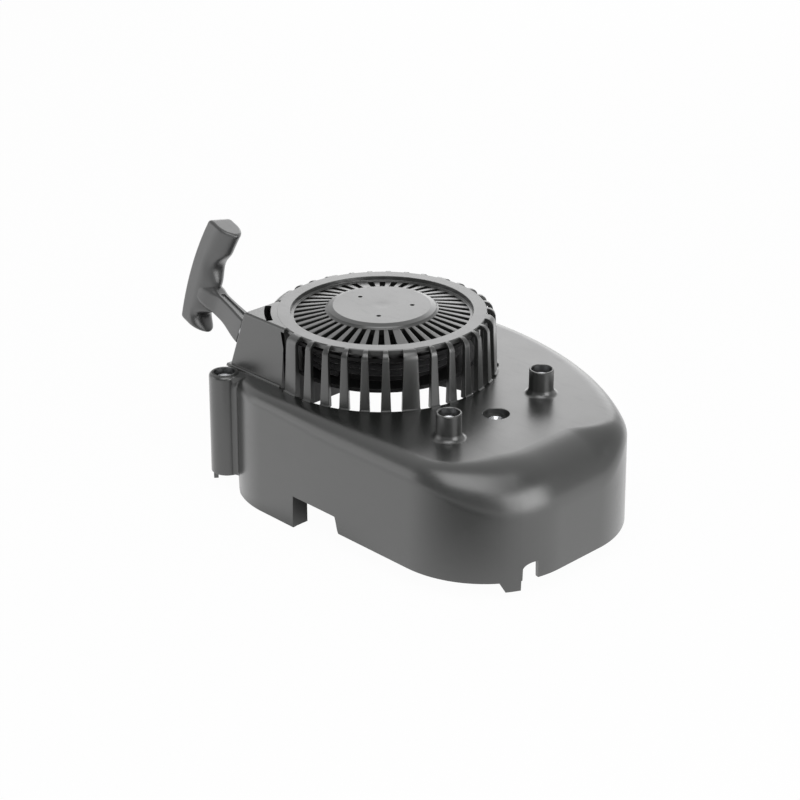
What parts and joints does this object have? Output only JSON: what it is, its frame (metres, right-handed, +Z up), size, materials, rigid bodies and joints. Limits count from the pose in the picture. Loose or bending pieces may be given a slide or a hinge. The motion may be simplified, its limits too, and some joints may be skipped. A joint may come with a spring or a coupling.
{
  "type": "recoil starter",
  "caption": "Engine fan cowl with a built-in recoil starter: slotted cage over a rope pulley, spring-returned pull rope with a T handle, pawls, and bushed screw columns.",
  "frame": {"origin": "centre of the whole part's box seen from above, on the plane of the cowl's lowest feet", "axes": "+X along the cowl from the handle towards its round end, +Z up along the pulley's axis"},
  "size_m": [0.302, 0.205, 0.1655],
  "materials": {
    "cowl_plastic": "satin black moulding",
    "handle_plastic": "satin black moulding",
    "pulley_plastic": "black moulding",
    "rope_fibre": "black braided rope",
    "zinc_steel": "bright zinc",
    "dark_steel": "hardened steel",
    "spring_steel": "oiled spring steel"
  },
  "bodies": {
    "cowl": {"fan_cowl": "cowl_plastic", "near_column_bush": "zinc_steel", "far_column_bush": "zinc_steel", "plate_bush": "zinc_steel", "near_boss_insert": "zinc_steel", "far_boss_insert": "zinc_steel", "rope_guide": "zinc_steel", "rope_run": "rope_fibre", "centre_washer": "zinc_steel", "centre_screw": "zinc_steel"},
    "pulley": {"rope_pulley": "pulley_plastic", "rope_winding": "rope_fibre", "pulley_knot": "rope_fibre", "recoil_spring": "spring_steel", "pawl_pin_1": "dark_steel", "pawl_pin_2": "dark_steel", "pawl_spring_1": "spring_steel", "pawl_spring_2": "spring_steel", "brake_spring": "spring_steel"},
    "pawl_guide": {"pawl_guide": "zinc_steel"},
    "pawl_1": {"starter_pawl_1": "dark_steel"},
    "pawl_2": {"starter_pawl_2": "dark_steel"},
    "handle": {"pull_handle": "handle_plastic", "handle_cap": "pulley_plastic", "handle_knot": "rope_fibre", "rope_tail": "rope_fibre"}
  },
  "joints": [
    {"name": "pulley_spin", "type": "hinge", "parent": "cowl", "child": "pulley", "pos_m": [-0.02678, -0.0116, 0.087], "axis": [0, 0, -1], "range_deg": [0, 1040], "stiffness_Nm_per_rad": 0.03, "springref_deg": -458.37, "deforming": ["rope_winding", "recoil_spring"]},
    {"name": "handle_pull", "type": "slide", "parent": "cowl", "child": "handle", "axis": [-0.9581, 0.1075, 0.2656], "range_m": [0, 0.901]},
    {"name": "pawl_guide_turn", "type": "hinge", "parent": "pulley", "child": "pawl_guide", "pos_m": [-0.02678, -0.0116, 0.07705], "axis": [0, 0, 1], "range_deg": [0, 28], "stiffness_Nm_per_rad": 0.004, "springref_deg": -17.19},
    {"name": "pawl_1_swing", "type": "hinge", "parent": "pulley", "child": "pawl_1", "pos_m": [-0.00178, -0.0116, 0.07955], "axis": [0, 0, -1], "range_deg": [0, 35]},
    {"name": "pawl_2_swing", "type": "hinge", "parent": "pulley", "child": "pawl_2", "pos_m": [-0.05178, -0.0116, 0.07955], "axis": [0, 0, -1], "range_deg": [0, 35]}
  ],
  "couplings": [
    {"joint": "handle_pull", "follows": "pulley_spin", "m_per_rad": 0.049625},
    {"joint": "pawl_1_swing", "follows": "pawl_guide_turn", "ratio": 1.25},
    {"joint": "pawl_2_swing", "follows": "pawl_guide_turn", "ratio": 1.25}
  ]
}
